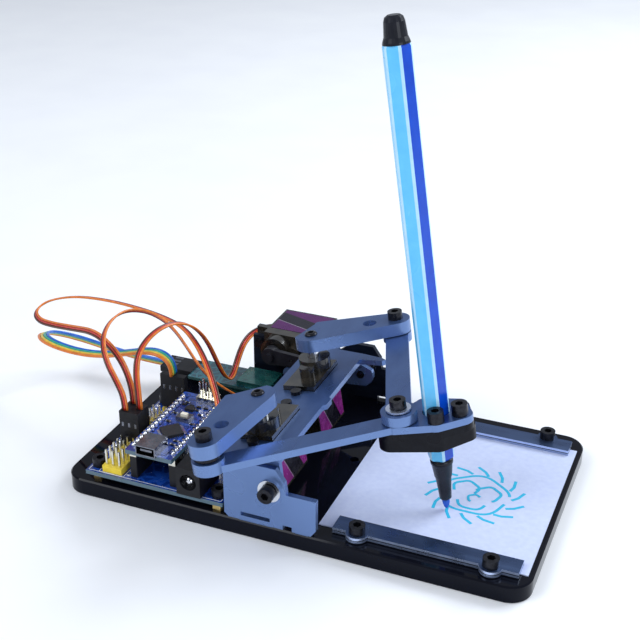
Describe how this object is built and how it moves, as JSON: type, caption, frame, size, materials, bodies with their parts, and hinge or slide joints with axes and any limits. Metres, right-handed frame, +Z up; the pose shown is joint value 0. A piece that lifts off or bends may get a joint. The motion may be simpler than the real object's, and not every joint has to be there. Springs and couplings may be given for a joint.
{
  "type": "scara drawing robot arm",
  "caption": "Desk drawing robot: hobby servos on a tilting carriage drive a five-bar linkage that moves a pen over a clamped card, with its controller boards on the same base.",
  "frame": {"origin": "centre of the base plate's underside", "axes": "+X along the base from the boards to the card, +Y away from the front edge, +Z up"},
  "size_m": [0.2211, 0.1317, 0.1714],
  "materials": {
    "base_black": "black acrylic sheet, polished",
    "card": "uncoated card",
    "clamp_steel": "anodised, dark satin",
    "block_black": "moulded, satin",
    "screw_steel": "black oxide",
    "board_blue": "solder resist, gloss",
    "board_green": "solder resist under clear shrink wrap",
    "standoff": "plain",
    "plug_black": "moulded, matt",
    "header_yellow": "moulded",
    "pin_metal": "tinned",
    "chip_black": "moulded epoxy",
    "usb_metal": "plated sheet",
    "button_cream": "moulded",
    "lead": "soft insulation, three wires",
    "ribbon": "soft insulation, four wires",
    "radio_metal": "plated module",
    "plate_aluminium": "anodised, satin",
    "plate_dark": "black anodised, satin",
    "bearing_steel": "ground",
    "servo_smoke": "smoky translucent",
    "horn_smoke": "moulded",
    "motor_steel": "plain",
    "pen_blue": "moulded",
    "pen_dark": "moulded"
  },
  "bodies": {
    "base": {"base_plate": "base_black", "drawing_card": "card", "clamp_bar_front": "clamp_steel", "clamp_bar_rear": "clamp_steel", "clamp_screws": "screw_steel", "carrier_board": "board_blue", "carrier_standoffs": "standoff", "carrier_screws": "screw_steel", "dc_jack": "plug_black", "controller_sockets": "plug_black", "signal_headers": "header_yellow", "header_pins": "pin_metal", "controller_board": "board_blue", "controller_chips": "chip_black", "usb_socket": "usb_metal", "controller_pins": "pin_metal", "reset_switch": "usb_metal", "servo_plugs": "plug_black", "servo_lead_near": "lead", "servo_lead_far": "lead", "servo_lead_lift": "lead", "ribbon_cable": "ribbon", "ribbon_plugs": "plug_black", "radio_board": "board_green", "radio_parts": "radio_metal", "side_plate_front": "plate_aluminium", "side_plate_rear": "plate_dark", "pivot_bearings": "bearing_steel", "lift_servo_case": "servo_smoke", "lift_servo_cover": "servo_smoke", "lift_servo_lid": "servo_smoke", "lift_servo_motor": "motor_steel", "lift_servo_screws": "screw_steel"},
    "reset_key": {"reset_button": "button_cream"},
    "lift_lever": {"lift_horn": "horn_smoke", "lift_servo_shaft": "bearing_steel"},
    "carriage": {"servo_carriage": "plate_aluminium", "near_servo_case": "servo_smoke", "far_servo_case": "servo_smoke", "near_servo_cover": "servo_smoke", "far_servo_cover": "servo_smoke", "servo_lids": "servo_smoke", "servo_motors": "motor_steel", "servo_mount_screws": "screw_steel", "pivot_screws": "screw_steel"},
    "near_arm": {"arm_near": "plate_aluminium", "near_drive_shaft": "bearing_steel", "elbow_screw_near": "screw_steel"},
    "far_arm": {"arm_far": "plate_aluminium", "far_drive_shaft": "bearing_steel", "elbow_screw_far": "screw_steel"},
    "near_forearm": {"forearm_near": "plate_aluminium", "pen_holder": "block_black", "pen_block": "block_black", "holder_screws": "screw_steel", "centre_screw": "screw_steel", "pen_barrel": "pen_blue", "pen_tip": "pen_dark"},
    "far_forearm": {"forearm_far": "plate_aluminium"}
  },
  "joints": [
    {"name": "carriage_tilt", "type": "hinge", "parent": "base", "child": "carriage", "pos_m": [-0.003, 0, 0.0205], "axis": [0, -1, 0], "range_deg": [0, 6]},
    {"name": "lift_turn", "type": "hinge", "parent": "base", "child": "lift_lever", "pos_m": [-0.0408, 0.036, 0.0215], "axis": [0, 1, 0], "range_deg": [0, 18.5]},
    {"name": "near_shoulder", "type": "hinge", "parent": "carriage", "child": "near_arm", "pos_m": [-0.01538, -0.0277, 0.03886], "axis": [-0.1495, 0, 0.9888], "range_deg": [-20, 20]},
    {"name": "near_elbow", "type": "hinge", "parent": "near_arm", "child": "near_forearm", "pos_m": [-0.01855, -0.05967, 0.03433], "axis": [-0.1495, 0, 0.9888], "range_deg": [-11, 11]},
    {"name": "far_shoulder", "type": "hinge", "parent": "carriage", "child": "far_arm", "pos_m": [-0.01538, 0.019, 0.03886], "axis": [-0.1495, 0, 0.9888], "range_deg": [-11, 11]},
    {"name": "far_elbow", "type": "hinge", "parent": "far_arm", "child": "far_forearm", "pos_m": [0.01192, 0.03606, 0.04096], "axis": [-0.1495, 0, 0.9888], "range_deg": [-4, 4]},
    {"name": "reset_press", "type": "slide", "parent": "base", "child": "reset_key", "axis": [0, 0, -1], "range_m": [0, 0.00025], "stiffness_N_per_m": 800}
  ],
  "couplings": [
    {"joint": "lift_turn", "follows": "carriage_tilt", "ratio": 3},
    {"joint": "near_elbow", "follows": "near_shoulder", "ratio": -0.514},
    {"joint": "far_shoulder", "follows": "near_shoulder", "ratio": 0.489},
    {"joint": "far_elbow", "follows": "near_shoulder", "ratio": -0.11}
  ]
}
